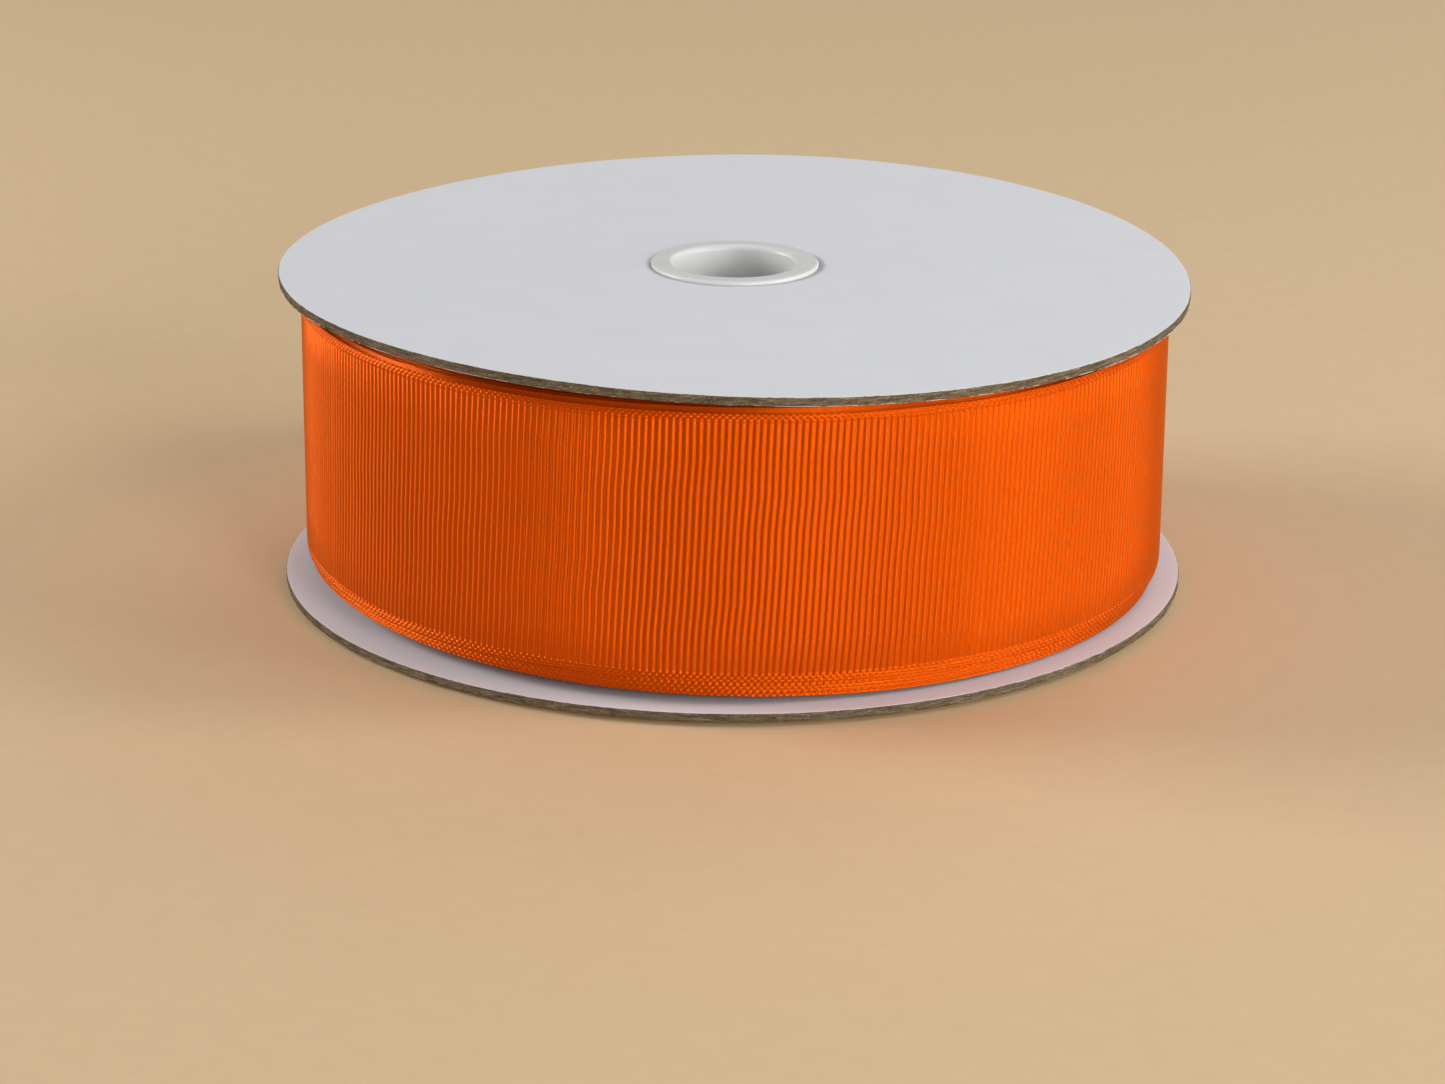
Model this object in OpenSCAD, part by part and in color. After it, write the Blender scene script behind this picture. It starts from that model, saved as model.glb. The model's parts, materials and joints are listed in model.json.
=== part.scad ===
/* [Ribbon] */
// Width of the ribbon, selvedge to selvedge
ribbon_w = 38; // [20:1:60]
// Length of ribbon wound on the spool, in metres (30 yards)
ribbon_len = 27.4; // [10:0.1:28]
// Thickness that one lap of wound ribbon adds to the roll
lap_t = 0.45; // [0.35:0.01:0.45]
// Space under the ribbon's lower edge, above the lower disc
ribbon_lift = 2.6; // [0.5:0.1:4]
// Space between the ribbon's upper edge and the upper disc
ribbon_slack = 3.5; // [0.5:0.1:4]

/* [Free end] */
// Direction of the line where the free end begins to lift off, from +X
tail_root_dir = 96; // [0:1:330]
// Arc of the roll that the free end covers
tail_arc = 26; // [15:1:40]

/* [Discs] */
// Diameter of both discs
disc_d = 134; // [132:1:160]
// Thickness of the chipboard in a disc
board_t = 1.0; // [0.8:0.05:1.6]
// Thickness of the white paper on each face of the chipboard
liner_t = 0.15; // [0.1:0.01:0.2]

/* [Hub] */
// Diameter of the hole right through the hub
bore_d = 18.3; // [17:0.1:18.5]
// Outside diameter of the hub's barrel
barrel_d = 21.9; // [21.6:0.1:22.1]
// Outside diameter of the lip that holds a disc
lip_d = 24.8; // [24:0.1:27]
// Thickness of the lip
lip_t = 0.9; // [0.8:0.05:1.2]
// Height of the lip above the disc's face
lip_proud = 0.5; // [0.45:0.05:0.6]
// Rounding of the hole's mouth
mouth_round = 0.8; // [0.3:0.1:0.9]
// Overlap of the two hub halves
snap_overlap = 12; // [8:1:16]
// Height of the snap bead above the neck of the plug
snap_h = 0.2; // [0.15:0.05:0.25]

/* [Winding tube] */
// Outside diameter of the paper tube that the ribbon is wound on (1 inch)
tube_d = 25.4; // [25:0.1:26]
// Clearance round the hub inside the tube
tube_slip = 0.15; // [0.1:0.05:0.3]

/* [Tapes] */
// Thickness of both adhesive tapes
tape_t = 0.06; // [0.05:0.01:0.08]
// Width of both adhesive tapes
tape_w = 19; // [12:1:19]
// Length of the tape on the free end
tail_tape_len = 26; // [15:1:30]
// Arc of the tube that the start tape covers
start_tape_arc = 110; // [60:5:200]

/* [Hidden] */
$fn = 180;

// Clearances
turn_gap = 0.08;      // radial, where a disc turns on the hub
face_gap = 0.05;      // axial, at each face that a disc or a hub half rubs on
seat_gap = 0.15;      // radial, round the lip in its seat
film_gap = 0.02;      // between wound layers that don't belong to one body

// Radii
disc_r = disc_d / 2;
bore_r = bore_d / 2;
barrel_r = barrel_d / 2;
lip_r = lip_d / 2;
hole_r = barrel_r + turn_gap;
seat_r = lip_r + seat_gap;
tube_r = tube_d / 2;
tube_bore_r = barrel_r + tube_slip;
lip_edge_round = 0.4;

// The neck of the plug fills the inner half of the barrel's wall
neck_r = (bore_r + barrel_r) / 2;
neck_gap = 0.03;
groove_play = 0.08;

// The roll: its laps fill the area that the ribbon's edge would cover laid out
// straight. The free end lies on the laps below the roll's mean radius.
roll_mean_r = sqrt(pow(tube_r, 2) + ribbon_len * 1000 * lap_t / PI);
roll_in_r = tube_r + tape_t + film_gap;
roll_r = roll_mean_r - lap_t / 2;
tail_in_r = roll_r + film_gap;
tail_out_r = tail_in_r + lap_t - film_gap;
tail_end_dir = tail_root_dir + tail_arc;

// Heights, from the surface that the lower lip stands on
disc_t = board_t + 2 * liner_t;
seat_depth = lip_t - lip_proud + face_gap;
z_low_out = lip_proud;
z_low_in = z_low_out + disc_t;
z_ribbon = z_low_in + ribbon_lift;
z_up_in = z_ribbon + ribbon_w + ribbon_slack;
z_up_out = z_up_in + disc_t;
total_h = z_up_out + lip_proud;
z_mid = total_h / 2;
z_shoulder = z_mid - snap_overlap / 2;
z_step = z_mid + snap_overlap / 2;
z_bead = z_step - snap_overlap / 4;

BOARD = [0.50, 0.45, 0.36];
PAPER = [0.86, 0.86, 0.87];
PLASTIC = [0.88, 0.88, 0.85];
KRAFT = [0.62, 0.49, 0.34];
RIBBON = [0.90, 0.34, 0.02];
TAPE = [0.85, 0.85, 0.78];

// A flat ring from z0 to z1, centred on the spool's axis
module ring(r_in, r_out, z0, z1) {
    translate([0, 0, z0]) difference() {
        cylinder(r = r_out, h = z1 - z0);
        translate([0, 0, -1]) cylinder(r = r_in, h = z1 - z0 + 2);
    }
}

// A curved strip between two radii, from direction a0 round through arc degrees
module curved_strip(r_in, r_out, z0, z1, a0, arc) {
    rotate([0, 0, a0]) rotate_extrude(angle = arc)
        translate([r_in, z0]) square([r_out - r_in, z1 - z0]);
}

// The chipboard of one disc, drawn with its outside face up at z = board_t.
// The hub's lip sits in a shallow seat pressed into that face.
module disc_board() {
    seat_in_board = seat_depth - liner_t;
    difference() {
        ring(hole_r, disc_r, 0, board_t);
        translate([0, 0, board_t - seat_in_board]) cylinder(r = seat_r, h = 1);
    }
}

module upper_board() {
    color(BOARD) translate([0, 0, z_up_in + liner_t]) disc_board();
}

module upper_outer_liner() {
    color(PAPER) ring(seat_r, disc_r, z_up_out - liner_t, z_up_out);
}

module upper_inner_liner() {
    color(PAPER) ring(hole_r, disc_r, z_up_in, z_up_in + liner_t);
}

module lower_board() {
    color(BOARD) translate([0, 0, z_low_in - liner_t]) mirror([0, 0, 1]) disc_board();
}

module lower_outer_liner() {
    color(PAPER) ring(seat_r, disc_r, z_low_out, z_low_out + liner_t);
}

module lower_inner_liner() {
    color(PAPER) ring(hole_r, disc_r, z_low_in - liner_t, z_low_in);
}

// Half section of a lip with a rounded rim and a rounded mouth. Its outer face is
// at y = 0 and the lip runs down to y = -lip_t, the barrel's wall to y = -depth.
module lip_section(depth) {
    difference() {
        union() {
            translate([bore_r, -depth]) square([barrel_r - bore_r, depth]);
            translate([bore_r, -lip_t]) square([lip_r - bore_r - lip_edge_round, lip_t]);
            translate([bore_r, -lip_t])
                square([lip_r - bore_r, lip_t - lip_edge_round]);
            translate([lip_r - lip_edge_round, -lip_edge_round]) circle(r = lip_edge_round);
        }
        difference() {
            translate([bore_r - 1, -mouth_round]) square([1 + mouth_round, mouth_round + 1]);
            translate([bore_r + mouth_round, -mouth_round]) circle(r = mouth_round);
        }
    }
}

// Upper hub half: lip, barrel, and a skirt with a groove that the plug snaps into
module hub_socket() {
    skirt_r = neck_r + neck_gap;
    groove_r = snap_h + groove_play;
    color(PLASTIC) rotate_extrude() difference() {
        union() {
            translate([0, total_h]) lip_section(total_h - z_step);
            translate([skirt_r, z_shoulder + face_gap])
                square([barrel_r - skirt_r, z_step - z_shoulder]);
        }
        translate([skirt_r, z_bead]) circle(r = groove_r);
    }
}

// Lower hub half: lip, barrel, and a thinner neck with the snap bead
module hub_plug() {
    color(PLASTIC) rotate_extrude() union() {
        mirror([0, 1]) lip_section(z_shoulder);
        translate([bore_r, z_shoulder - 1])
            square([neck_r - bore_r, z_step - face_gap - z_shoulder + 1]);
        intersection() {
            translate([neck_r, z_bead]) circle(r = snap_h);
            translate([neck_r - snap_h / 2, z_bead - 1]) square([1, 2]);
        }
    }
}

module winding_tube() {
    color(KRAFT) ring(tube_bore_r, tube_r, z_low_in + face_gap, z_up_in - face_gap);
}

// Tape round the tube, which holds down the ribbon's start
module start_tape() {
    color(TAPE) curved_strip(
        tube_r, tube_r + tape_t, z_mid - tape_w / 2, z_mid + tape_w / 2,
        tail_root_dir, start_tape_arc
    );
}

module ribbon_roll() {
    color(RIBBON) ring(roll_in_r, roll_r, z_ribbon, z_ribbon + ribbon_w);
}

// The free end, wound anticlockwise seen from above
module ribbon_tail() {
    color(RIBBON) curved_strip(
        tail_in_r, tail_out_r, z_ribbon, z_ribbon + ribbon_w, tail_root_dir, tail_arc
    );
}

// Clear tape over the ribbon's cut end, half on the free end and half past it
module tail_tape() {
    tape_arc = tail_tape_len / tail_out_r * 180 / PI;
    color(TAPE) curved_strip(
        tail_out_r, tail_out_r + tape_t, z_mid - tape_w / 2, z_mid + tape_w / 2,
        tail_end_dir - tape_arc / 2, tape_arc
    );
}

upper_board();
upper_outer_liner();
upper_inner_liner();
lower_board();
lower_outer_liner();
lower_inner_liner();
hub_socket();
hub_plug();
winding_tube();
start_tape();
ribbon_roll();
ribbon_tail();
tail_tape();
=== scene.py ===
"""A spool of 38 mm grosgrain ribbon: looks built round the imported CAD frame.

Everything is in metres, in the CAD frame: +Z up along the spool's axis, origin on
the surface that the lower hub lip stands on. The ribbon is one strip wound
anticlockwise seen from above, modelled as four lengths that meet end to end: the
inner laps, the laps whose edges peek out, the outermost lap and the free end.
"""

import json
import math

import bpy
import numpy as np
from mathutils import Matrix, Vector


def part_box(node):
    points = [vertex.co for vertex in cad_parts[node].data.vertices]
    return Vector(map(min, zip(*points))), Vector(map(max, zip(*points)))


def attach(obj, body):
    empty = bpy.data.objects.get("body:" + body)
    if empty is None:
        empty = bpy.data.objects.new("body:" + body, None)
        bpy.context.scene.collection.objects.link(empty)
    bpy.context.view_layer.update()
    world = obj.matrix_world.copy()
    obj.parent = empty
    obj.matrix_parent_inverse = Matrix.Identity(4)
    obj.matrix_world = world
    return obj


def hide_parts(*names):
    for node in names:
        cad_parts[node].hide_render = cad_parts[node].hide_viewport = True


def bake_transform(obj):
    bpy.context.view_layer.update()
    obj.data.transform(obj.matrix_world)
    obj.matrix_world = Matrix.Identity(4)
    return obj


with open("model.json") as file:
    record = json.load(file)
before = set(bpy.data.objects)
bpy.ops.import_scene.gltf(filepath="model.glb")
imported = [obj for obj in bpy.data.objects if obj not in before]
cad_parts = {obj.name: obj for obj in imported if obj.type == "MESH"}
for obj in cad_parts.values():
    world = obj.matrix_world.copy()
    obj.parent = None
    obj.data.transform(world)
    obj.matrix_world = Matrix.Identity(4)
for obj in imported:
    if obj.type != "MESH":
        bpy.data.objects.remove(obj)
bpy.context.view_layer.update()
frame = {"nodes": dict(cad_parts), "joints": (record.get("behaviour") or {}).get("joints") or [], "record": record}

MM = 0.001
TURN = 2 * math.pi


# ---------------------------------------------------------------- sizes from the frame

def low(node):
    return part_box(node)[0]


def high(node):
    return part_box(node)[1]


DISC_R = high("upper_board").x
Z_LOW_OUT = low("lower_outer_liner").z
Z_LOW_IN = high("lower_inner_liner").z
Z_UP_IN = low("upper_inner_liner").z
Z_UP_OUT = high("upper_outer_liner").z
TOTAL_H = high("hub_socket").z
LINER_T = Z_UP_OUT - low("upper_outer_liner").z
LIP_R = high("hub_socket").x
TUBE_R = high("winding_tube").x
RIBBON_W = high("ribbon_roll").z - low("ribbon_roll").z
TAPE_W = high("tail_tape").z - low("tail_tape").z
SPINDLE_BORE = [m for m in frame["record"]["mounts"] if m["name"] == "spindle_bore"][0]
BORE_R = SPINDLE_BORE["dims"]["r_mm"] * MM

# Sizes that a node's box doesn't show; they are the CAD model's own
LAP_T = 0.45 * MM
TAPE_T = 0.06 * MM
LIP_T = 0.9 * MM
BARREL_R = 10.95 * MM
HOLE_R = BARREL_R + 0.08 * MM
SEAT_R = LIP_R + 0.15 * MM

LIFT_JOINT = [j for j in frame["joints"] if j["name"] == "free_end_lift"][0]
ROOT_X, ROOT_Y, _ = LIFT_JOINT["pos_m"]
ROOT_DIR = math.atan2(ROOT_Y, ROOT_X)
ROOT_OUT_R = math.hypot(ROOT_X, ROOT_Y)
TAIL_TURNS = 26 / 360       # share of a turn that the free end covers

RNG = np.random.default_rng(38)


# ---------------------------------------------------------------- mesh helpers

def mesh_object(name, points, faces, smooth=True):
    """A mesh object from an (n, 3) array and a list of index arrays of quads or n-gons."""
    mesh = bpy.data.meshes.new(name)
    loops = np.concatenate([np.asarray(f, np.int32).ravel() for f in faces])
    sizes = np.concatenate([
        np.full(len(f), f.shape[1], np.int32) if isinstance(f, np.ndarray)
        else np.array([len(f)], np.int32)
        for f in faces
    ])
    starts = np.concatenate([[0], np.cumsum(sizes)[:-1]]).astype(np.int32)
    mesh.vertices.add(len(points))
    mesh.vertices.foreach_set("co", np.asarray(points, np.float32).ravel())
    mesh.loops.add(len(loops))
    mesh.loops.foreach_set("vertex_index", loops)
    mesh.polygons.add(len(sizes))
    mesh.polygons.foreach_set("loop_start", starts)
    mesh.polygons.foreach_set("use_smooth", np.full(len(sizes), smooth))
    mesh.update(calc_edges=True)
    mesh.validate()
    obj = bpy.data.objects.new(name, mesh)
    bpy.context.scene.collection.objects.link(obj)
    return obj


def grid_faces(rows, cols, wrap_rows, wrap_cols, flip=False):
    """Quads of a grid of rows x cols points, wrapped round either way if asked."""
    i = np.arange(rows if wrap_rows else rows - 1)
    j = np.arange(cols if wrap_cols else cols - 1)
    a, b = np.meshgrid(i, j, indexing="ij")
    a2, b2 = (a + 1) % rows, (b + 1) % cols
    quads = np.stack([a * cols + b, a2 * cols + b, a2 * cols + b2, a * cols + b2], -1)
    quads = quads.reshape(-1, 4)
    return quads[:, ::-1] if flip else quads


def ring_object(name, grid, flip=False):
    """A closed ring: grid[i, j] is angle i, section point j."""
    n, m, _ = grid.shape
    return mesh_object(name, grid.reshape(-1, 3), [grid_faces(n, m, True, True, flip)])


def strip_object(name, grid):
    """A closed strip: grid[i, j] is place i along it, section point j, with flat ends."""
    n, m, _ = grid.shape
    first = list(range(m))
    last = list(range((n - 1) * m, n * m))[::-1]
    faces = [grid_faces(n, m, False, True), first, last]
    obj = mesh_object(name, grid.reshape(-1, 3), faces)
    for cap in obj.data.polygons[-2:]:
        cap.use_smooth = False
    return obj


def polar(radius, angle, z):
    radius, angle, z = np.broadcast_arrays(radius, angle, z)
    return np.stack([radius * np.cos(angle), radius * np.sin(angle), z], -1)


def smooth_step(x, lo, hi):
    t = np.clip((np.asarray(x, float) - lo) / (hi - lo), 0, 1)
    return t * t * (3 - 2 * t)


def cell_noise(u, v, cells_u, cells_v):
    """Smooth seeded noise, -1 to 1. u and v run 0 to 1; u wraps round."""
    table = RNG.uniform(-1, 1, (cells_u, cells_v + 2))
    x, y = np.asarray(u, float) % 1 * cells_u, np.clip(v, 0, 1) * cells_v
    i, j = np.floor(x).astype(int), np.floor(y).astype(int)
    fx, fy = smooth_step(x - i, 0, 1), smooth_step(y - j, 0, 1)
    i2 = (i + 1) % cells_u
    i = i % cells_u
    a = table[i, j] * (1 - fx) + table[i2, j] * fx
    b = table[i, j + 1] * (1 - fx) + table[i2, j + 1] * fx
    return a * (1 - fy) + b * fy


# ---------------------------------------------------------------- node material helpers

class Nodes:
    """Short names for building one material's node tree."""

    def __init__(self, name):
        self.mat = bpy.data.materials.new(name)
        self.mat.use_nodes = True
        self.tree = self.mat.node_tree
        self.tree.nodes.clear()
        self.out = self.add("ShaderNodeOutputMaterial")
        self.shader = self.add("ShaderNodeBsdfPrincipled")
        self.link(self.shader.outputs["BSDF"], self.out.inputs["Surface"])
        self.place = self.add("ShaderNodeTexCoord").outputs["Object"]

    def add(self, kind, **values):
        node = self.tree.nodes.new(kind)
        for key, value in values.items():
            setattr(node, key, value)
        return node

    def link(self, a, b):
        self.tree.links.new(a, b)

    def set(self, **values):
        for key, value in values.items():
            self.shader.inputs[key.replace("_", " ")].default_value = value

    def feed(self, socket, value):
        if isinstance(value, bpy.types.NodeSocket):
            self.link(value, socket)
        else:
            socket.default_value = value

    def math(self, op, a, b=0.0, c=0.0):
        node = self.add("ShaderNodeMath", operation=op)
        for socket, value in zip(node.inputs, (a, b, c)):
            self.feed(socket, value)
        return node.outputs[0]

    def stretched(self, x, y, z):
        """The place, multiplied by a scale along each axis."""
        node = self.add("ShaderNodeVectorMath", operation="MULTIPLY")
        self.link(self.place, node.inputs[0])
        node.inputs[1].default_value = (x, y, z)
        return node.outputs[0]

    def cylindrical(self, radius, x_scale, y_scale, z_scale):
        """(arc length, distance from the axis, height) in metres, each scaled."""
        split = self.add("ShaderNodeSeparateXYZ")
        self.link(self.place, split.inputs[0])
        angle = self.math("ARCTAN2", split.outputs[1], split.outputs[0])
        x2 = self.math("MULTIPLY", split.outputs[0], split.outputs[0])
        r2 = self.math("MULTIPLY_ADD", split.outputs[1], split.outputs[1], x2)
        join = self.add("ShaderNodeCombineXYZ")
        self.link(self.math("MULTIPLY", angle, radius * x_scale), join.inputs[0])
        self.link(self.math("MULTIPLY", self.math("SQRT", r2), y_scale), join.inputs[1])
        self.link(self.math("MULTIPLY", split.outputs[2], z_scale), join.inputs[2])
        return join.outputs[0]

    def noise(self, vector, scale, detail=3.0, roughness=0.55, distortion=0.0):
        node = self.add("ShaderNodeTexNoise")
        self.link(vector, node.inputs["Vector"])
        for key, value in (("Scale", scale), ("Detail", detail),
                           ("Roughness", roughness), ("Distortion", distortion)):
            node.inputs[key].default_value = value
        return node.outputs["Fac"]

    def voronoi(self, vector, scale):
        node = self.add("ShaderNodeTexVoronoi")
        self.link(vector, node.inputs["Vector"])
        node.inputs["Scale"].default_value = scale
        return node.outputs["Distance"]

    def ramp(self, value, *stops):
        """A colour ramp; each stop is (position, colour) with a grey or an RGB colour."""
        node = self.add("ShaderNodeValToRGB")
        self.link(value, node.inputs[0])
        elements = node.color_ramp.elements
        while len(elements) < len(stops):
            elements.new(0.5)
        for element, (position, colour) in zip(elements, stops):
            element.position = position
            rgb = colour if isinstance(colour, tuple) else (colour,) * 3
            element.color = (*rgb, 1)
        return node.outputs[0]

    def range(self, value, lo, hi, out_lo, out_hi):
        node = self.add("ShaderNodeMapRange")
        self.link(value, node.inputs[0])
        for k, number in enumerate((lo, hi, out_lo, out_hi)):
            node.inputs[k + 1].default_value = number
        return node.outputs[0]

    def mix(self, factor, a, b, mode="MIX"):
        node = self.add("ShaderNodeMix", data_type="RGBA", blend_type=mode)
        self.feed(node.inputs[0], factor)
        for socket, value in ((node.inputs[6], a), (node.inputs[7], b)):
            self.feed(socket, value if not isinstance(value, tuple) else (*value, 1))
        return node.outputs[2]

    def bump(self, height, distance, strength):
        node = self.add("ShaderNodeBump")
        self.link(height, node.inputs["Height"])
        node.inputs["Distance"].default_value = distance
        node.inputs["Strength"].default_value = strength
        return node.outputs[0]


def dress(obj, material):
    obj.data.materials.clear()
    obj.data.materials.append(material)


# ---------------------------------------------------------------- materials

def grosgrain_material():
    """Dyed polyester: bright warp threads run along the ribbon over each rib."""
    n = Nodes("orange_grosgrain")
    along = n.cylindrical(ROOT_OUT_R, 1, 0, 1)
    split = n.add("ShaderNodeSeparateXYZ")
    n.link(along, split.inputs[0])
    waver = n.noise(n.cylindrical(ROOT_OUT_R, 260, 0, 900), 1.0, 2.0)
    thread_pitch = 0.17 * MM
    lines = n.math("MULTIPLY_ADD", split.outputs[2], TURN / thread_pitch,
                   n.math("MULTIPLY", waver, 9.0))
    thread = n.math("SINE", lines)
    fibre = n.noise(n.cylindrical(ROOT_OUT_R, 1500, 0, 14000), 1.0, 3.0, 0.6)
    patch = n.noise(n.cylindrical(ROOT_OUT_R, 60, 0, 60), 1.0, 3.0, 0.5)
    height = n.math("MULTIPLY_ADD", thread, 0.35, fibre)
    colour = n.ramp(fibre, (0.28, (0.65, 0.067, 0.0002)), (0.50, (0.73, 0.085, 0.0003)),
                    (0.74, (0.81, 0.106, 0.0005)))
    tint = n.ramp(patch, (0.3, (0.95, 0.92, 0.9)), (0.7, (1.0, 1.0, 1.0)))
    n.link(n.mix(1.0, colour, tint, "MULTIPLY"), n.shader.inputs["Base Color"])
    n.link(n.range(fibre, 0.3, 0.7, 0.44, 0.34), n.shader.inputs["Roughness"])
    n.link(n.bump(height, 0.03 * MM, 0.8), n.shader.inputs["Normal"])
    tangent = n.add("ShaderNodeTangent", direction_type="RADIAL", axis="Z")
    n.link(tangent.outputs[0], n.shader.inputs["Tangent"])
    n.set(Anisotropic=0.8, Anisotropic_Rotation=0.25, Metallic=0.55, Specular_IOR_Level=0.5)
    n.set(Sheen_Weight=0.15, Sheen_Roughness=0.5)
    n.shader.inputs["Sheen Tint"].default_value = (1.0, 0.42, 0.03, 1)
    n.shader.inputs["Specular Tint"].default_value = (1.0, 0.85, 0.12, 1)
    return n.mat


def paper_material():
    """White clay-coated liner paper with a faint felt and a little mottle."""
    n = Nodes("white_liner_paper")
    felt = n.noise(n.place, 2600, 4.0, 0.6)
    cloud = n.noise(n.place, 120, 3.0, 0.5)
    fibres = n.noise(n.stretched(5200, 900, 2600), 1.0, 2.0, 0.6, 0.8)
    colour = n.ramp(cloud, (0.3, (0.745, 0.75, 0.785)), (0.7, (0.765, 0.77, 0.80)))
    speck = n.ramp(n.voronoi(n.place, 420), (0.02, (0.90, 0.88, 0.84)), (0.05, 1.0))
    n.link(n.mix(0.35, colour, n.mix(1.0, colour, speck, "MULTIPLY")),
           n.shader.inputs["Base Color"])
    n.link(n.range(felt, 0.3, 0.7, 0.62, 0.74), n.shader.inputs["Roughness"])
    height = n.math("MULTIPLY_ADD", fibres, 0.5, felt)
    n.link(n.bump(height, 0.012 * MM, 0.6), n.shader.inputs["Normal"])
    n.set(Specular_IOR_Level=0.4)
    return n.mat


def chipboard_material():
    """Recycled greyboard: felted layers with darker and paler fibres showing."""
    n = Nodes("grey_chipboard")
    layer = n.noise(n.cylindrical(DISC_R, 500, 500, 5200), 1.0, 4.0, 0.65)
    grain = n.noise(n.cylindrical(DISC_R, 3000, 3000, 7000), 1.0, 4.0, 0.7)
    fleck = n.noise(n.cylindrical(DISC_R, 1100, 1100, 9000), 1.0, 2.0, 0.5, 1.2)
    base = n.ramp(layer, (0.30, (0.058, 0.037, 0.018)), (0.46, (0.145, 0.106, 0.062)),
                  (0.62, (0.240, 0.188, 0.120)), (0.78, (0.36, 0.31, 0.22)))
    shade = n.ramp(grain, (0.32, 0.45), (0.55, 1.0), (0.75, 1.35))
    colour = n.mix(1.0, base, shade, "MULTIPLY")
    pale = n.ramp(fleck, (0.66, 0.0), (0.74, 1.0))
    colour = n.mix(pale, colour, (0.48, 0.42, 0.32))
    n.link(colour, n.shader.inputs["Base Color"])
    n.set(Roughness=0.95, Specular_IOR_Level=0.2)
    height = n.math("MULTIPLY_ADD", grain, 0.8, layer)
    n.link(n.bump(height, 0.10 * MM, 0.9), n.shader.inputs["Normal"])
    return n.mat


def hub_material():
    """White moulded polypropylene, a little translucent, with a fine satin texture."""
    n = Nodes("white_hub_plastic")
    satin = n.noise(n.place, 5200, 3.0, 0.5)
    flow = n.noise(n.cylindrical(LIP_R, 90, 90, 160), 1.0, 3.0, 0.5, 0.6)
    colour = n.ramp(flow, (0.3, (0.725, 0.735, 0.713)), (0.7, (0.765, 0.775, 0.753)))
    n.link(colour, n.shader.inputs["Base Color"])
    n.link(n.range(satin, 0.3, 0.7, 0.30, 0.42), n.shader.inputs["Roughness"])
    n.link(n.bump(satin, 0.006 * MM, 0.5), n.shader.inputs["Normal"])
    n.set(Subsurface_Weight=0.15, Subsurface_Scale=0.8 * MM, Specular_IOR_Level=0.5)
    n.shader.inputs["Subsurface Radius"].default_value = (1.0, 0.95, 0.85)
    return n.mat


def kraft_material():
    """Brown spiral-wound kraft paper."""
    n = Nodes("kraft_tube_paper")
    fibre = n.noise(n.cylindrical(TUBE_R, 900, 900, 3600), 1.0, 4.0, 0.6)
    cloud = n.noise(n.place, 160, 2.0)
    colour = n.ramp(fibre, (0.3, (0.24, 0.145, 0.07)), (0.55, (0.34, 0.215, 0.11)),
                    (0.8, (0.45, 0.31, 0.18)))
    n.link(n.mix(n.range(cloud, 0.3, 0.7, 0.0, 0.3), colour, (0.40, 0.28, 0.16)),
           n.shader.inputs["Base Color"])
    n.set(Roughness=0.85, Specular_IOR_Level=0.3)
    n.link(n.bump(fibre, 0.05 * MM, 0.7), n.shader.inputs["Normal"])
    return n.mat


def tape_material():
    """Clear office tape: a thin glossy film with faint drawn lines."""
    n = Nodes("clear_tape_film")
    lines = n.noise(n.cylindrical(ROOT_OUT_R, 120, 0, 4200), 1.0, 2.0)
    haze = n.noise(n.place, 700, 3.0, 0.6)
    n.link(n.range(haze, 0.35, 0.7, 0.10, 0.24), n.shader.inputs["Roughness"])
    n.link(n.ramp(lines, (0.3, (0.46, 0.40, 0.29)), (0.7, (0.58, 0.52, 0.40))),
           n.shader.inputs["Base Color"])
    n.link(n.range(haze, 0.3, 0.8, 0.05, 0.09), n.shader.inputs["Alpha"])
    n.link(n.bump(lines, 0.01 * MM, 0.5), n.shader.inputs["Normal"])
    n.set(Specular_IOR_Level=0.6)
    return n.mat


def floor_material():
    n = Nodes("pale_floor")
    grain = n.noise(n.place, 240, 4.0, 0.6)
    n.link(n.ramp(grain, (0.3, (0.73, 0.525, 0.30)), (0.7, (0.75, 0.545, 0.315))),
           n.shader.inputs["Base Color"])
    n.set(Roughness=0.7)
    return n.mat


GROSGRAIN = grosgrain_material()
PAPER = paper_material()
CHIPBOARD = chipboard_material()
PLASTIC = hub_material()
KRAFT = kraft_material()
TAPE = tape_material()


# ---------------------------------------------------------------- the ribbon strip

RIB_PITCH = 0.94 * MM
CREST = 0.205 * MM          # from the strip's middle surface to the top of a rib
GROOVE = -0.03 * MM         # and to the bottom of the groove between two ribs
GROOVE_BACK = 0.09 * MM     # the same on the back of the free end
PLAIN_BACK = 0.92 * CREST   # depth of a back that has no ribs, because it doesn't show
EDGE_CREST = 0.25 * CREST   # height of the outermost thread, at the very edge
SCALLOP = 0.06 * MM         # how far that thread draws in between two ribs
AT_EDGE = 0.01 * MM         # a point this near the edge counts as on it
R_ROOT = ROOT_OUT_R - CREST


def turn_radius(t):
    """Middle radius of the strip; t counts turns from the free end's root, inwards < 0."""
    return R_ROOT + LAP_T * t


def run_length(t):
    return TURN * (R_ROOT * t + LAP_T * t * t / 2)


def turn_at(length):
    """The turn at a length along the strip: run_length solved for t."""
    return (-R_ROOT + np.sqrt(R_ROOT ** 2 + 2 * LAP_T * length / TURN)) / LAP_T


# Where a lap slipped up or down as it was wound: (turn, counted from the root and inwards
# < 0, slip in mm, reach in turns). The second and third laps slipped down, so they show
# below the outermost.
EDGE_REST = 3.1 * MM
SLIPS = [(-0.36, -0.5, 0.12), (-0.75, 0.9, 0.22), (-1.43, -1.7, 0.20), (-2.40, -2.65, 0.27)]


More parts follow.
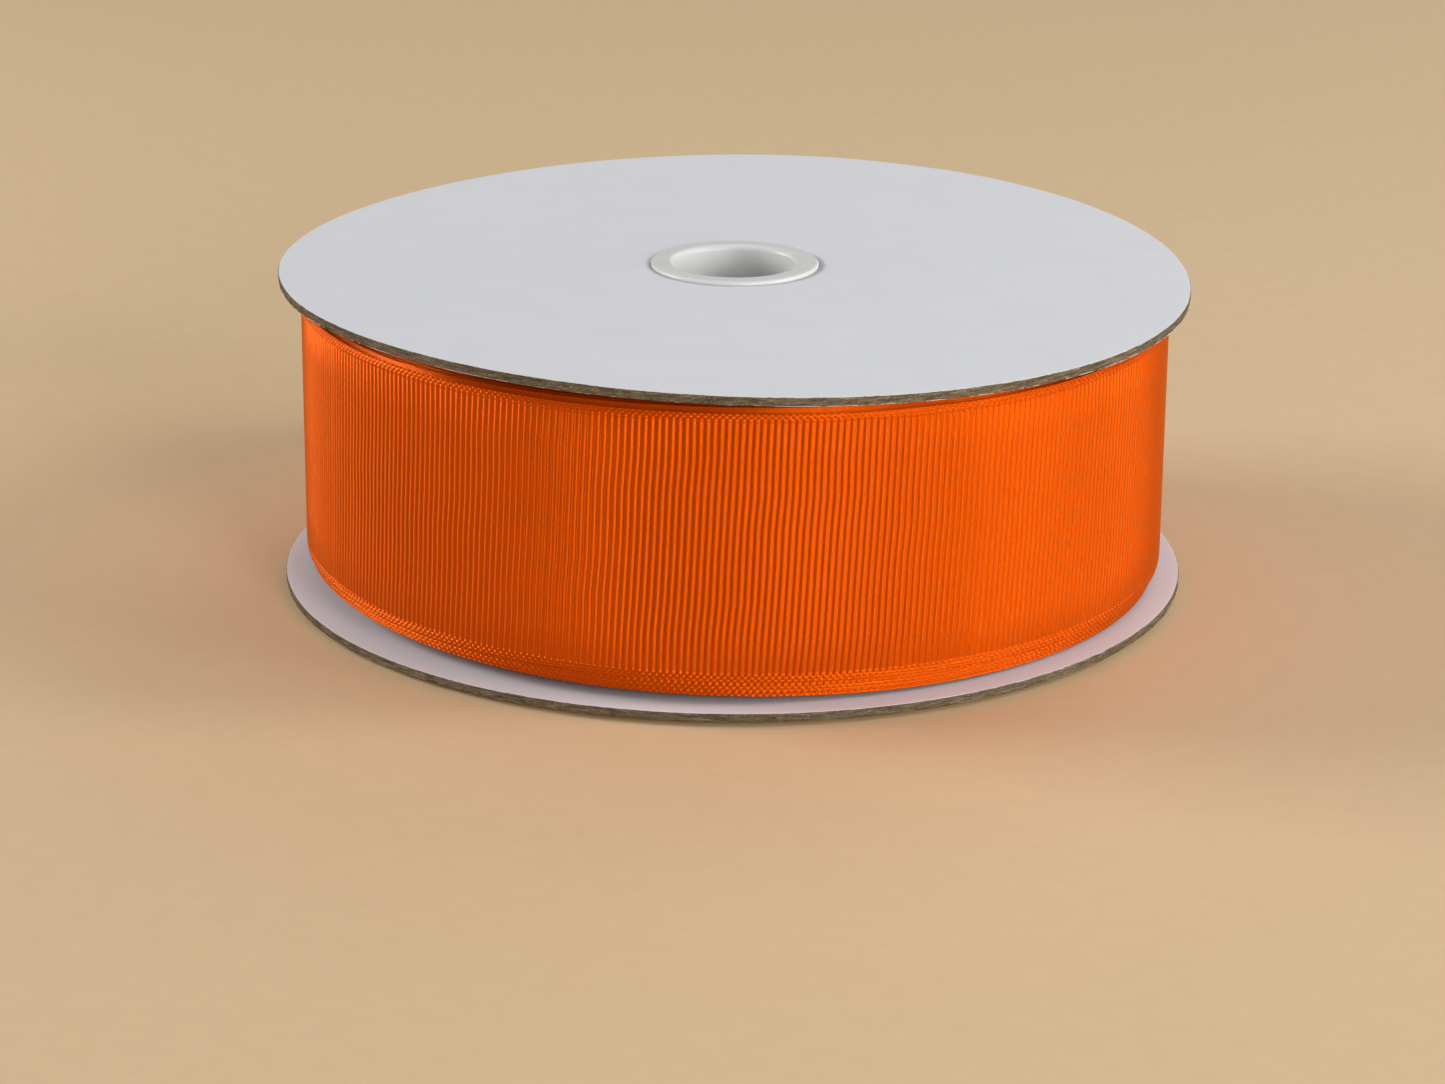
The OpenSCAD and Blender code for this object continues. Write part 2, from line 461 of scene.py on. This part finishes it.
def edge_height(t):
    """Height of the strip's lower edge: level laps, with a few slips near the outside."""
    t = np.asarray(t, float)
    near = EDGE_REST + MM * sum(slip * np.exp(-((t - turn) / reach) ** 2)
                                for turn, slip, reach in SLIPS)
    deep = MM * (3.0 + 0.45 * np.sin(TURN * t / 5.3) + 0.3 * np.sin(TURN * t / 1.93 + 1.0)
                 + 0.25 * np.sin(TURN * t / 0.71 + 2.0))
    blend = smooth_step(t, -3.3, -3.0)
    return Z_LOW_IN + near * blend + deep * (1 - blend)


RIB_JITTER = RNG.normal(0, 1, 4096)


def weft_shift(s, w):
    """How far a rib stands along the strip from where it crosses the ribbon's middle."""
    m = (w - RIBBON_W / 2) / MM
    lean = 0.052 * m - 0.00035 * m * m
    waver = 0.055 * (np.sin(TURN * m / 17 + TURN * s / (61 * MM))
                     + 0.7 * np.sin(TURN * m / 11 - TURN * s / (37 * MM) + 1.3)
                     + 0.4 * np.sin(TURN * m / 8.3 + TURN * s / (13 * MM) + 0.4))
    return MM * (lean + waver)


def rib_height(count, groove):
    """Height of the ribbed weave above the strip's middle; a rib's crest is at whole
    numbers of count and the groove between two ribs halfway."""
    rib = np.round(count).astype(int)
    across = np.clip(np.abs(count - rib) * 2, 0, 1)
    round_rib = np.cos(across * math.pi / 2)
    size = np.clip(1 + 0.05 * RIB_JITTER[rib % len(RIB_JITTER)], 0.85, 1.0)
    return groove + (CREST * size - groove) * round_rib


BEAD_LENGTH = 0.94          # of a rib's pitch

# Rows of beads along a selvedge: middle of the row and half its width, in mm from the
# edge, and its height as a share of a rib's. BEAD_ROW_ENDS is where one row gives way to
# the next, and RIBS_END is the stretch over which the ribs give way to the beads.
BEAD_ROWS = [(0.16, 0.17, 0.70), (0.55, 0.22, 0.93), (1.01, 0.24, 1.0)]
BEAD_ROW_ENDS = [0.33, 0.78]
RIBS_END = (1.20, 1.36)


def bead_height(count, edge, groove):
    """Height of the beaded selvedge at a distance from the ribbon's edge."""
    e = edge / MM
    row = np.searchsorted(BEAD_ROW_ENDS, np.clip(e, 0, 1.3))
    middle, half, size = (np.array(BEAD_ROWS)[row, k] for k in range(3))
    place = count + 0.5 * (row == 1)
    along = np.abs(place - np.round(place)) * 2 / BEAD_LENGTH
    across = (e - middle) / half
    dome = np.sqrt(np.clip(1 - along ** 2 - 0.85 * across ** 2, 0, 1))
    return groove + (CREST * size - groove) * dome


def face_height(count, w, groove):
    edge = np.minimum(w, RIBBON_W - w)
    gate = smooth_step(edge, RIBS_END[0] * MM, RIBS_END[1] * MM)
    return rib_height(count, groove) * gate + bead_height(count, edge, groove) * (1 - gate)


SELVEDGE_ROWS = MM * np.array([0.0, 0.07, 0.20, 0.33, 0.43, 0.55, 0.67, 0.78, 0.89, 1.01,
                               1.14, 1.25, 1.42])


def strip_section(body_rows):
    """Heights on the ribbon's face, from its lower edge to its upper edge."""
    body = np.linspace(SELVEDGE_ROWS[-1], RIBBON_W - SELVEDGE_ROWS[-1], body_rows + 2)
    return np.concatenate([SELVEDGE_ROWS, body[1:-1], RIBBON_W - SELVEDGE_ROWS[::-1]])


def rib_stations(t0, t1, fractions):
    """Rib counts from turn t0 to turn t1 with the same few stations within every rib."""
    first = round(run_length(t0) / RIB_PITCH)
    last = round(run_length(t1) / RIB_PITCH)
    count = np.arange(first, last)[:, None] + np.array(fractions)[None, :]
    return np.concatenate([count.ravel(), [last]])


def strip_grid(count, outer_w, inner_w):
    """Points of a closed strip: its outer face up, then its inner face down. A back of only
    two points is plain."""
    s = (count * RIB_PITCH)[:, None]
    count = count[:, None]
    base = edge_height(turn_at(s))
    w = np.broadcast_to(outer_w[None, :], (len(s), len(outer_w)))
    t = turn_at(s + weft_shift(s, w))
    lift = face_height(count, w, GROOVE)
    at_edge = np.minimum(w, RIBBON_W - w) < AT_EDGE
    side = np.where(w < RIBBON_W / 2, 1, -1)
    between = np.abs(count - np.round(count)) * 2
    nudge = np.where(at_edge, side * SCALLOP * between, 0)
    lift = np.where(at_edge, EDGE_CREST, lift)
    outer = polar(turn_radius(t) + lift, ROOT_DIR + TURN * t, base + w + nudge)
    w = np.broadcast_to(inner_w[None, ::-1], (len(s), len(inner_w)))
    t = turn_at(s + weft_shift(s, w))
    ribbed = len(inner_w) > 2
    depth = face_height(count, w, GROOVE_BACK) if ribbed else np.full(w.shape, PLAIN_BACK)
    depth = np.where(np.minimum(w, RIBBON_W - w) < AT_EDGE, EDGE_CREST, depth)
    inner = polar(turn_radius(t) - depth, ROOT_DIR + TURN * t, base + w)
    return np.concatenate([outer, inner], 1)


# Turns at which the inner laps begin on the tube, and the lengths outside them begin
INNER_FROM = -(R_ROOT - TUBE_R - TAPE_T - LAP_T / 2 - 0.02 * MM) / LAP_T
SECOND_FROM = -3.08
OUTER_FROM = -1.08
INNER_STATIONS = 84         # in each turn
PLAIN_INSET = 0.12 * MM     # from the edges to a plain back

# Half a section of an inner lap, in mm: out from the middle, up from the lower edge
PLAIN_SECTION = [(-0.17, 0.10), (-0.06, 0.0), (0.06, 0.0), (0.17, 0.10)]


def plain_grid(t0, t1):
    """Points of a closed strip with no weave, from turn t0 to turn t1."""
    turns = np.linspace(t0, t1, int((t1 - t0) * INNER_STATIONS))
    section = PLAIN_SECTION + [(-d, RIBBON_W / MM - w) for d, w in PLAIN_SECTION]
    d, w = np.array(section).T * MM
    return polar(turn_radius(turns)[:, None] + d, ROOT_DIR + TURN * turns[:, None],
                 edge_height(turns)[:, None] + w[None, :])


def build_ribbon():
    """The four lengths of the ribbon, from the tube outwards to the free end."""
    back = np.array([PLAIN_INSET, RIBBON_W - PLAIN_INSET])
    second = rib_stations(SECOND_FROM, OUTER_FROM, (0.0, 0.25, 0.5, 0.75))
    outer = rib_stations(OUTER_FROM, 0.0, (0.0, 0.2, 0.4, 0.5, 0.6, 0.8))
    tail = rib_stations(0.0, TAIL_TURNS, (0.0, 0.13, 0.27, 0.4, 0.5, 0.6, 0.73, 0.87))
    both = strip_section(8)
    lengths = [
        ("ribbon_inner_laps", plain_grid(INNER_FROM, SECOND_FROM), INNER_FROM, SECOND_FROM),
        ("ribbon_second_laps", strip_grid(second, strip_section(1), back),
         SECOND_FROM, OUTER_FROM),
        ("ribbon_outer_lap", strip_grid(outer, strip_section(6), back), OUTER_FROM, 0.0),
        ("ribbon_free_end", strip_grid(tail, both, both), 0.0, TAIL_TURNS),
    ]
    pieces = []
    for name, grid, t0, t1 in lengths:
        obj = strip_object(name, grid)
        dress(obj, GROSGRAIN)
        pieces.append(obj)
    return pieces


inner_laps, second_laps, outer_lap, free_end = build_ribbon()
for piece in (inner_laps, second_laps, outer_lap):
    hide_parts("ribbon_roll")
    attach(piece, "core")
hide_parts("ribbon_tail")
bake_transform(free_end)


# ---------------------------------------------------------------- tape on the free end

TAPE_LENGTH = 26 * MM
TAPE_LIFT = 0.03 * MM       # over the crests of the ribs
SAW_TOOTH = 0.12 * MM       # of the cut ends


def build_tail_tape():
    """Clear film over the cut end: on the free end, then down onto the lap beneath."""
    half = TAPE_LENGTH / 2
    end_angle = ROOT_DIR + TURN * TAIL_TURNS
    s = np.linspace(-half, half, 90)
    angle = end_angle + s / ROOT_OUT_R
    t = TAIL_TURNS + (angle - end_angle) / TURN
    over = turn_radius(t) + CREST
    under = over - LAP_T
    drop = smooth_step(s, 0.15 * MM, 1.7 * MM)
    radius = over * (1 - drop) + under * drop + TAPE_LIFT
    z_mid = edge_height(np.array([TAIL_TURNS]))[0] + RIBBON_W / 2
    rows = np.linspace(-TAPE_W / 2, TAPE_W / 2, 26)
    wave = 0.02 * MM * (np.sin(rows[None, :] / MM * 1.1 + s[:, None] / MM * 0.4) + 1)
    saw = SAW_TOOTH * (np.arange(len(rows)) % 2)
    ends = np.zeros((len(s), len(rows)))
    ends[0, :], ends[-1, :] = -saw, saw
    a = angle[:, None] + ends / ROOT_OUT_R
    outer = polar(radius[:, None] + wave + TAPE_T, a, z_mid + rows[None, :])
    inner = polar(radius[:, None] + wave, a, z_mid + rows[None, :])[:, ::-1]
    obj = strip_object("free_end_tape", np.concatenate([outer, inner], 1))
    dress(obj, TAPE)
    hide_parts("tail_tape")
    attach(obj, "free_end")


build_tail_tape()


# ---------------------------------------------------------------- the card discs

def warp_of(upper):
    """How far a disc's rim stands off its flat plane, by direction: pressed card bends."""
    if upper:
        return lambda a: MM * (-0.175 - 0.66 * np.cos(a) + 0.79 * np.sin(a)
                               - 0.375 * np.cos(2 * a) + 0.70 * np.sin(2 * a)
                               - 0.12 * np.sin(3 * a))
    return lambda a: MM * (0.26 * np.cos(a) + 0.10 * np.sin(2 * a + 0.9) - 0.02)


def bent(r, a, warp):
    """The disc's bend at radius r: none at the hub, all of it at the rim."""
    share = np.clip((r - LIP_R) / (DISC_R - LIP_R), 0, 1)
    return warp(a) * share ** 1.3


ROLL_REACH = 0.9 * MM       # from the rim, over which the paper rolls over
ROLL_DROP = 0.03 * MM
PRESS_REACH = 2.2 * MM      # from the seat, over which the paper dips into it


def rim_radius(a):
    """The die-cut rim: nearly round, with a slightly ragged cut."""
    turn = a / TURN % 1
    coarse = cell_noise(turn, np.zeros_like(turn), 150, 1)
    fine = cell_noise(turn, np.zeros_like(turn), 620, 1)
    return DISC_R - 0.05 * MM + 0.014 * MM * coarse + 0.012 * MM * fine


def liner_grid(angles, rim, z_face, outward, warp, r_in, dip):
    """A sheet of paper on a disc's face, rolled over slightly at the die-cut rim."""
    steps = np.array([0, 0.02, 0.06, 0.12, 0.22, 0.38, 0.54, 0.70, 0.83, 0.915, 0.955,
                      0.978, 0.989, 0.9945, 0.9994, 1.0])
    r = r_in + (rim[:, None] - r_in) * steps[None, :]
    a = angles[:, None]
    from_rim = rim[:, None] - r
    roll = ROLL_DROP * np.clip(1 - from_rim / ROLL_REACH, 0, 1) ** 2.2
    press = dip * np.clip(1 - (r - r_in) / PRESS_REACH, 0, 1) ** 2
    turn = np.broadcast_to(a / TURN % 1, r.shape)
    dents = 0.02 * MM * cell_noise(turn, (r - r_in) / (DISC_R - r_in), 22, 7)
    z = z_face + outward * (dents - roll - press) + bent(r, a, warp)
    crush = 1 - 0.65 * np.clip(1 - from_rim / ROLL_REACH, 0, 1) ** 1.5
    face = polar(r, a, z)
    back = polar(r, a, z - outward * LINER_T * crush)[:, ::-1]
    return np.concatenate([face, back], 1)


def board_grid(angles, rim, z0, z1, warp, burrs):
    """The chipboard core: its edge is torn, layered fibre with a few burrs."""
    rows = np.linspace(0, 1, 13)
    a = angles[:, None]
    turn = np.broadcast_to(a / TURN % 1, (len(angles), len(rows)))
    v = np.broadcast_to(rows[None, :], turn.shape)
    layers = cell_noise(turn, v, 130, 5) * 0.07 + cell_noise(turn, v, 520, 8) * 0.06
    fibres = cell_noise(turn, v, 1500, 12) * 0.045
    shoulder = 0.06 * (np.clip(1 - rows / 0.10, 0, 1) ** 2
                       + np.clip(1 - (1 - rows) / 0.10, 0, 1) ** 2)
    r = rim[:, None] - 0.01 * MM + MM * (0.7 * layers + fibres - shoulder[None, :])
    swell = 0.11 * MM
    z = z0 - swell + (z1 - z0 + 2 * swell) * v
    z = z + 0.03 * MM * cell_noise(turn, v, 420, 6) * np.sin(math.pi * v)
    for direction, size, width in burrs:
        near = np.exp(-((a - direction) * DISC_R / (width * MM)) ** 2)
        r = r + size * MM * 0.35 * near * v ** 3
        z = z + size * MM * near * v ** 4
    edge = polar(r, a, z + bent(r, a, warp))
    inner_steps = np.array([1.0, 0.984, 0.8, 0.5, 0.2, 0.0])
    r_top = HOLE_R + (r[:, -1:] - HOLE_R) * inner_steps[None, 1:]
    top = polar(r_top, a, z1 + bent(r_top, a, warp))
    r_bottom = HOLE_R + (r[:, :1] - HOLE_R) * inner_steps[None, :0:-1]
    bottom = polar(r_bottom, a, z0 + bent(r_bottom, a, warp))
    return np.concatenate([edge, top, bottom], 1)


def build_disc(prefix, body, z0, z1, upper, burrs):
    """One disc: chipboard between two liners. z0 and z1 are its lower and upper face."""
    warp = warp_of(upper)
    fine = np.linspace(0, TURN, 2400, endpoint=False)
    coarse = fine[::2]
    rim = rim_radius(fine)
    out = 1 if upper else -1
    z_out, z_in = (z1, z0) if upper else (z0, z1)
    board = board_grid(fine, rim, z0 + LINER_T, z1 - LINER_T, warp, burrs)
    parts = {
        "board": (ring_object(f"{prefix}_chipboard", board), CHIPBOARD, "chipboard"),
    }
    shrink = 0.06 * MM
    outer_shrink = shrink if upper else 0.18 * MM
    grid = liner_grid(coarse, rim[::2] - outer_shrink, z_out, out, warp,
                      SEAT_R - 0.05 * MM, 0.12 * MM)
    parts["outer_liner"] = (
        ring_object(f"{prefix}_outer_paper", grid, flip=not upper), PAPER, "white_paper")
    grid = liner_grid(coarse, rim[::2] - shrink, z_in, -out, warp, HOLE_R + 0.02 * MM, 0.0)
    parts["inner_liner"] = (
        ring_object(f"{prefix}_inner_paper", grid, flip=upper), PAPER, "white_paper")
    for node, (obj, material, slot) in parts.items():
        dress(obj, material)
        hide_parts(f"{prefix}_{node}")
        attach(obj, body)


# Burrs on the boards' edges: direction in radians from +X, then size and width in mm
UPPER_BURRS = [(-0.918, 0.16, 1.3), (-0.766, 0.14, 1.6), (-2.3, 0.05, 0.8)]
LOWER_BURRS = [(-1.885, 0.42, 0.7), (-2.25, 0.15, 0.8), (-0.95, 0.12, 1.2), (0.8, 0.3, 0.9)]
build_disc("upper", "upper_disc", Z_UP_IN, Z_UP_OUT, True, UPPER_BURRS)
build_disc("lower", "lower_disc", Z_LOW_OUT, Z_LOW_IN, False, LOWER_BURRS)


# ---------------------------------------------------------------- the hub

MOUTH_ROUND, RIM_ROUND = 0.8 * MM, 0.4 * MM
FACE_FALL, RIM_FALL = 0.03 * MM, 0.04 * MM      # how far the lip's crowned face falls
LIP_CHAMFER, BARREL_CHAMFER = 0.08 * MM, 0.12 * MM
SNAP_OVERLAP = 12 * MM
SNAP_BEAD, SNAP_GROOVE = 0.20 * MM, 0.28 * MM   # radii
NECK_GAP, FACE_GAP = 0.03 * MM, 0.05 * MM       # between the two halves


def half_round(cx, cz, radius):
    """Points of a half circle in the half section, from below round to above."""
    angles = np.linspace(-math.pi / 2, math.pi / 2, 9)
    return [(cx + radius * math.cos(a), cz + radius * math.sin(a)) for a in angles]


def lathe(name, section, segments=256):
    angles = np.linspace(0, TURN, segments, endpoint=False)
    points = np.array(section)
    grid = polar(points[None, :, 0], angles[:, None], points[None, :, 1])
    return ring_object(name, grid, flip=True)


def lip_points(z_face, inward):
    """The lip's section from the bore, over its crowned face and rim, to its underside.
    inward is -1 where the face is on top and +1 where it is underneath."""
    def z(depth):
        return z_face + inward * depth
    quarter = np.linspace(0, math.pi / 2, 10)
    points = [(BORE_R + MOUTH_ROUND * (1 - math.cos(x)), z(MOUTH_ROUND * (1 - math.sin(x))))
              for x in quarter]
    mouth_r = points[-1][0]
    span = LIP_R - RIM_ROUND - mouth_r
    points += [(mouth_r + span * k, z(FACE_FALL * k)) for k in (0.25, 0.5, 0.75)]
    points += [(LIP_R - RIM_ROUND + RIM_ROUND * math.sin(x),
                z(RIM_FALL + RIM_ROUND * (1 - math.cos(x))))
               for x in np.linspace(0, math.pi / 2, 8)]
    points += [(LIP_R, z(LIP_T - LIP_CHAMFER)), (LIP_R - LIP_CHAMFER, z(LIP_T)),
               (BARREL_R + BARREL_CHAMFER, z(LIP_T)), (BARREL_R, z(LIP_T + BARREL_CHAMFER))]
    return points


def build_hub():
    """Two halves that snap together: a skirt with a groove over a neck with a bead."""
    z_mid = TOTAL_H / 2
    z_step, z_shoulder = z_mid + SNAP_OVERLAP / 2, z_mid - SNAP_OVERLAP / 2
    z_bead = z_step - SNAP_OVERLAP / 4
    neck_r = (BORE_R + BARREL_R) / 2
    skirt_r = neck_r + NECK_GAP
    skirt_end = z_shoulder + FACE_GAP
    socket = lip_points(TOTAL_H, -1)
    socket += [(BARREL_R, skirt_end + 0.15 * MM), (BARREL_R - 0.15 * MM, skirt_end),
               (skirt_r, skirt_end)]
    socket += half_round(skirt_r, z_bead, SNAP_GROOVE)
    socket += [(skirt_r, z_step), (BORE_R, z_step)]
    neck_end = z_step - FACE_GAP
    plug = lip_points(0.0, 1)
    plug += [(BARREL_R, z_shoulder - 0.10 * MM), (BARREL_R - 0.10 * MM, z_shoulder),
             (neck_r, z_shoulder)]
    plug += half_round(neck_r, z_bead, SNAP_BEAD)
    plug += [(neck_r, neck_end - 0.20 * MM), (neck_r - 0.20 * MM, neck_end),
             (BORE_R, neck_end)]
    for name, section, node in (("upper_hub_half", socket, "hub_socket"),
                                ("lower_hub_half", plug[::-1], "hub_plug")):
        obj = lathe(name, section)
        dress(obj, PLASTIC)
        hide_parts(node)
        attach(obj, "core")


build_hub()


# ---------------------------------------------------------------- carried-over CAD nodes

for node, material in (("winding_tube", KRAFT), ("start_tape", TAPE)):
    slots = frame["nodes"][node].data.materials
    slots.clear()
    slots.append(material)


# ---------------------------------------------------------------- camera, light, floor

def build_camera():
    """A long lens from the front, about 14.5 degrees above the upper disc's face."""
    reach, rise = 9.0 * DISC_R, math.radians(14.495)
    pitch, yaw, roll = -0.3211, -0.0026, 0.0075
    forward = Vector((math.sin(yaw) * math.cos(pitch), math.cos(yaw) * math.cos(pitch),
                      math.sin(pitch)))
    right = Vector((math.cos(yaw), -math.sin(yaw), 0))
    up = right.cross(forward)
    right, up = (right * math.cos(roll) + up * math.sin(roll),
                 up * math.cos(roll) - right * math.sin(roll))
    data = bpy.data.cameras.new("camera")
    data.sensor_width = 36
    data.sensor_fit = "HORIZONTAL"
    data.lens = 101.64
    data.clip_start, data.clip_end = 0.01, 20
    camera = bpy.data.objects.new("camera", data)
    bpy.context.scene.collection.objects.link(camera)
    matrix = Matrix((right, up, -forward)).transposed().to_4x4()
    matrix.translation = (0, -reach * math.cos(rise), Z_UP_OUT + reach * math.sin(rise))
    camera.matrix_world = matrix
    bpy.context.scene.camera = camera


STAGE_MIDDLE = Vector((0, 0, 0.02))
FLOOR_R = 3.0
FLOOR_DROP = 0.2 * MM       # so that the floor and the lower lip's face stay apart


def area_light(name, azimuth, elevation, distance, size, power):
    """A soft light aimed at the spool; azimuth is counted from +X, both in degrees."""
    data = bpy.data.lights.new(name, "AREA")
    data.shape = "RECTANGLE"
    data.size, data.size_y = size
    data.energy = power
    light = bpy.data.objects.new(name, data)
    bpy.context.scene.collection.objects.link(light)
    a, e = math.radians(azimuth), math.radians(elevation)
    out = Vector((math.cos(a) * math.cos(e), math.sin(a) * math.cos(e), math.sin(e)))
    light.location = STAGE_MIDDLE + distance * out
    light.rotation_euler = out.to_track_quat("Z", "Y").to_euler()


def build_stage():
    rim = polar(FLOOR_R, np.linspace(0, TURN, 64, endpoint=False), -FLOOR_DROP)
    floor = mesh_object("floor", rim, [list(range(64))], smooth=False)
    floor.data.materials.append(floor_material())
    world = bpy.data.worlds.new("studio")
    world.use_nodes = True
    background = world.node_tree.nodes["Background"]
    background.inputs["Color"].default_value = (1.0, 1.0, 1.0, 1)
    background.inputs["Strength"].default_value = 0.2
    bpy.context.scene.world = world
    area_light("right", -5, 35, 1.15, (0.3, 0.5), 3.9)
    area_light("right_low", -25, 12, 1.15, (0.3, 0.5), 3.9)
    area_light("front_low", -65, 12, 1.15, (0.3, 0.5), 5.7)
    area_light("left", 170, 22, 1.15, (0.5, 0.5), 8.4)
    area_light("top", 90, 80, 1.2, (0.8, 0.8), 0.8)
    area_light("back_right", 60, 35, 1.2, (0.6, 0.6), 1.7)


build_camera()
build_stage()
bpy.context.scene.view_settings.view_transform = "Standard"
